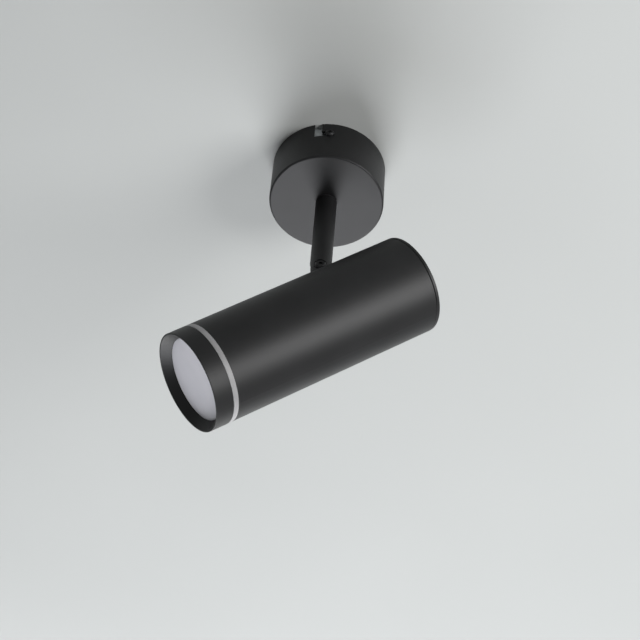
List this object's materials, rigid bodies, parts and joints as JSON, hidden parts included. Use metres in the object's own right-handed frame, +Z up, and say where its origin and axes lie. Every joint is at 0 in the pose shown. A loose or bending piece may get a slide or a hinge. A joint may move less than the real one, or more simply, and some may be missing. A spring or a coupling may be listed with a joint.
{
  "type": "surface mounted ceiling spotlight",
  "caption": "Black ceiling spotlight: a round cup on the ceiling, a straight swivelling stem and a tilting tube head with a frosted band and an opal light opening.",
  "frame": {"origin": "centre of the ceiling cup on the ceiling plane, midway between the bracket's two ceiling slots", "axes": "+Z up, away from the room and along the stem's swivel axis; the head lies in the XZ plane with its light opening towards -X and down; the tilt pivot runs along Y"},
  "size_m": [0.1592, 0.0754, 0.2316],
  "materials": {
    "black_sheet": "satin black powder coat on steel sheet",
    "black_coat": "satin black powder coat on turned aluminium",
    "black_screw": "black zinc plating",
    "zinc_steel": "zinc plated steel",
    "spring_steel": "blued spring steel",
    "brass": "turned brass",
    "bare_aluminium": "extruded and turned aluminium",
    "nylon": "black turned nylon",
    "white_plastic": "moulded white polycarbonate",
    "frosted_acrylic": "frosted clear acrylic",
    "opal_acrylic": "opal acrylic with a fine satin face",
    "silicone": "silicone",
    "lead_cover": "brown silicone lead insulation",
    "board_coat": "white solder mask on an aluminium board",
    "card_green": "glass-fibre circuit board",
    "phosphor": "phosphor coated light chips",
    "coil_tape": "taped transformer",
    "can_sleeve": "shrink sleeve on an aluminium can"
  },
  "bodies": {
    "ceiling_body": {"canopy_cup": "black_sheet", "mounting_bracket": "zinc_steel", "side_screw_near": "black_screw", "side_screw_far": "black_screw", "terminal_block": "white_plastic", "terminal_sleeves": "brass", "clamp_screws": "zinc_steel", "block_screw": "zinc_steel", "earth_screw": "zinc_steel", "earth_washer": "brass", "swivel_bush": "nylon", "stop_peg": "zinc_steel"},
    "stem_body": {"stop_washer": "zinc_steel", "cone_spring": "spring_steel", "swivel_nut": "zinc_steel", "stem_nipple": "zinc_steel", "stem_tube": "black_coat", "stem_fork": "black_coat", "stem_leads": "lead_cover", "pivot_screw": "black_screw", "pivot_nut": "black_screw", "pivot_washer": "black_screw", "friction_washers": "nylon"},
    "head_body": {"tilt_lug": "black_coat", "saddle_washer": "bare_aluminium", "lug_nut": "zinc_steel", "body_tube": "black_coat", "rear_cap": "black_coat", "cap_seal": "silicone", "front_ring": "black_coat", "light_ring": "frosted_acrylic", "diffuser": "opal_acrylic", "diffuser_keeper": "bare_aluminium", "reflector": "white_plastic", "led_board": "board_coat", "thermal_pad": "silicone", "led_chips": "phosphor", "board_screws": "zinc_steel", "heat_sink": "bare_aluminium", "driver_housing": "white_plastic", "driver_lid": "white_plastic", "driver_card": "card_green", "driver_coil": "coil_tape", "driver_can": "can_sleeve", "driver_screws": "zinc_steel", "board_leads": "lead_cover", "head_leads": "lead_cover"}
  },
  "joints": [
    {"name": "stem_swivel", "type": "hinge", "parent": "ceiling_body", "child": "stem_body", "pos_m": [0, 0, -0.0347], "axis": [0, 0, 1], "range_deg": [-165, 165]},
    {"name": "head_tilt", "type": "hinge", "parent": "stem_body", "child": "head_body", "pos_m": [0, 0, -0.104], "axis": [0, -1, 0], "range_deg": [-38.4, 51.5]}
  ]
}
